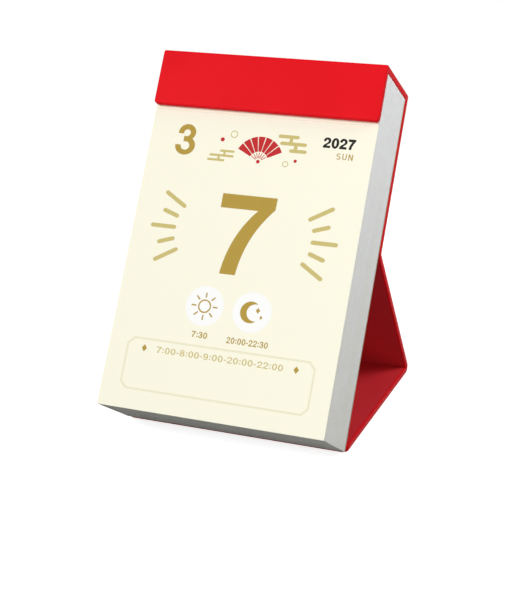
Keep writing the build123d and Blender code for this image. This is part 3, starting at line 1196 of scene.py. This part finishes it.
def page_layout(day, weekday):
    """Outlines of one day's print, by ink."""
    weekday_line = set_line(weekday, middle=36.85, low=110.9, height=2.6, stretch=1.1, gap=22)
    year_line = set_line(YEAR, middle=33.75, low=115.45, height=4.1, stretch=1.03)
    hours_line = set_line(NOTE_HOURS, middle=0, low=RULE_LEVEL - 1.3, height=2.6, stretch=1.19)
    return {
        "gold": set_line(MONTH, middle=-32.2, low=107.2, height=12.9, stretch=0.96)
        + heavier(weekday_line, gain=-0.05)
        + set_line(day, middle=0.4, low=59.3, height=33.2, stretch=1.01)
        + set_line(SUN_HOUR, middle=-10.1, low=32.3, height=2.5)
        + set_line(MOON_HOURS, middle=10.5, low=31.8, height=2.5, stretch=0.92)
        + sun_icon(-DISC_AT, DISC_LEVEL)
        + moon_icon(DISC_AT, DISC_LEVEL)
        + [diamond(x, RULE_LEVEL, half_wide=1.1, half_high=1.5) for x in (-RULE_END, RULE_END)],
        "pale_gold": rays()
        + mist(14.6, 115.6, lengths=(7.6, 10, 6), width=1.45, pitch=2.9, slant=2.4)
        + mist(-15.4, 108.2, lengths=(5.5, 9.8, 6.7), width=0.95, pitch=2.0, slant=-2.2)
        + ring(-11.5, 117.6, radius=1.4, width=0.35)
        + ring(12.6, 107.0, radius=1.1, width=0.35)
        + heavier(hours_line, gain=-0.04),
        "black": heavier(year_line, gain=0.13),
        "red": folding_fan(0.8, 107.0, inner=4.2, outer=10.6, blades=7)
        + [disc(-16.2, 115.0, radius=0.9, steps=24), disc(16.6, 108.6, radius=0.7, steps=24)],
        "line": note_frame(half=40.4, low=7.9, high=29.4, clip=2.7, width=0.8),
    }


def white_discs():
    """The two white discs that carry the icons."""
    return [disc(x, DISC_LEVEL, DISC_RADIUS, steps=64) for x in (-DISC_AT, DISC_AT)]


print("a page holds", {name: len(shapes) for name, shapes in page_layout("7", "SUN").items()}, "outlines")

# %% [markdown]
# ## Printing the pages
# Ink could be a picture on the leaf, but a picture blurs close up. Here each ink is a mesh less than a
# hundredth of a millimetre thick that lies on the paper, so its edges stay crisp and it rides with its
# leaf. The gold icons lie on the white discs, so gold is printed as a second layer. The two pages below
# carry the days that follow, because lifting or tearing off a leaf shows them.

# %% Print the pages
INK_LIFT = 0.002
INK_THICKNESS = 0.008


def printed(name, shapes, colour, front, layer, body):
    """Ink mesh laid on a page, in the first or second layer of ink."""
    mesh = filled_outline(name, shapes, INK_THICKNESS)
    lay_on_page(mesh, front + INK_LIFT + INK_THICKNESS * (layer + 0.5))
    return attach(add_piece(mesh, INKS[colour]), body)


def print_page(leaf, day, weekday, front, body):
    """All inks of one page."""
    printed(f"{leaf}_white_discs", white_discs(), "white", front, 0, body)
    for colour, shapes in page_layout(day, weekday).items():
        layer = 1 if colour == "gold" else 0
        printed(f"{leaf}_{colour}_print", shapes, colour, front, layer, body)


print_page("today", "7", "SUN", today_back + LEAF_THICKNESS, "today_leaf")
print_page("next", "8", "MON", next_back + LEAF_THICKNESS, "next_leaf")
print_page("third", "9", "TUE", stack_front - INK_ROOM, "pad")
print("printed three pages")

# %% [markdown]
# ## The floor
# The photograph is a cut-out on white with a thin shadow under the calendar. A white floor would throw so
# much light up that the pad's dark underside would be lost. So this floor has two looks, told apart by the
# kind of ray: light that bounces off it meets a dull grey, and the eye meets near white with a glow of its
# own, in which the shadow still shows. The floor is small, since its far parts would be dim, and the white
# world begins where it ends.

# %% Lay the floor
FLOOR_HALF = 0.55
FLOOR_DROP = 0.00002
FLOOR_GLOW = 0.78
WHITE = (1, 1, 1, 1)


def shown_directly(tree):
    """One for rays from the camera, a reflection or something clear, and none for scattered light."""
    ray = tree.nodes.new("ShaderNodeLightPath").outputs
    direct = reckoned(tree, "MAXIMUM", ray["Is Camera Ray"], ray["Is Glossy Ray"])
    return reckoned(tree, "MAXIMUM", direct, ray["Is Transmission Ray"])


def make_floor_paint():
    """Matt floor with a faint cloud of tone: grey for scattered light, near white to the eye."""
    finish, tree, shader = new_finish("floor_paint")
    cloud = grain(tree, size=300.0)
    shown = shown_directly(tree)
    thrown = tones(tree, cloud, shade(120, 120, 120), shade(124, 124, 124))
    seen = tones(tree, cloud, shade(208, 208, 208), shade(212, 212, 212))
    glow = reckoned(tree, "MULTIPLY", shown, FLOOR_GLOW)
    feed(tree, shader, {"Base Color": mixed(tree, shown, thrown, seen), "Roughness": 1.0})
    feed(tree, shader, {"Emission Color": WHITE, "Emission Strength": glow, "Specular IOR Level": 0.0})
    return finish


floor_mesh = bpy.data.meshes.new("floor")
corners = box_outline(-FLOOR_HALF, FLOOR_HALF, -FLOOR_HALF, FLOOR_HALF)
floor_mesh.from_pydata([(x, y, -FLOOR_DROP) for x, y in corners], [], [(0, 1, 2, 3)])
floor = bpy.data.objects.new("floor", floor_mesh)
floor_mesh.materials.append(make_floor_paint())
bpy.context.scene.collection.objects.link(floor)
print("floor", 2 * FLOOR_HALF, "m across")

# %% [markdown]
# ## World and lamps
# The photograph's light is soft and comes from the front. One strong, even world would do that, but it
# would fill every hollow. So the world is weak, though plain white to the eye, and three soft boxes do the
# rest: a large one at the front left lights the page, a small one at the upper right keeps the pad's cut
# edge a clear light grey that fades downward, and a low one at the right reaches the inside of the stand.

# %% Light the scene
AMBIENT = 0.14


def white_world(strength):
    """Even white light all round, seen as plain white by the camera and in reflections."""
    world = bpy.data.worlds.new("studio")
    world.use_nodes = True
    tree = world.node_tree
    light = tree.nodes["Background"]
    feed(tree, light, {"Color": WHITE, "Strength": strength})
    paper = fed_node(tree, "ShaderNodeBackground", {"Color": WHITE, "Strength": 1.0})
    looks = {"Fac": shown_directly(tree), 1: light.outputs["Background"], 2: paper.outputs["Background"]}
    swap = fed_node(tree, "ShaderNodeMixShader", looks)
    feed(tree, tree.nodes["World Output"], {"Surface": swap.outputs["Shader"]})
    bpy.context.scene.world = world


def soft_lamp(name, place, size, power):
    """Square soft box aimed at the middle of the calendar."""
    lamp = bpy.data.lights.new(name, "AREA")
    lamp.shape = "SQUARE"
    lamp.size = size
    lamp.energy = power
    box = bpy.data.objects.new(name, lamp)
    box.location = place
    box.rotation_euler = (AIM - Vector(place)).to_track_quat("-Z", "Y").to_euler()
    bpy.context.scene.collection.objects.link(box)


white_world(AMBIENT)
soft_lamp("key_softbox", place=(-0.75, -1.35, 1.12), size=0.7, power=26.9)
soft_lamp("side_softbox", place=(0.34, 0.10, 0.34), size=0.25, power=1.15)
soft_lamp("low_softbox", place=(0.55, -0.34, 0.11), size=0.3, power=1.15)
print("lit by the world and", len(bpy.data.lights), "soft lamps")
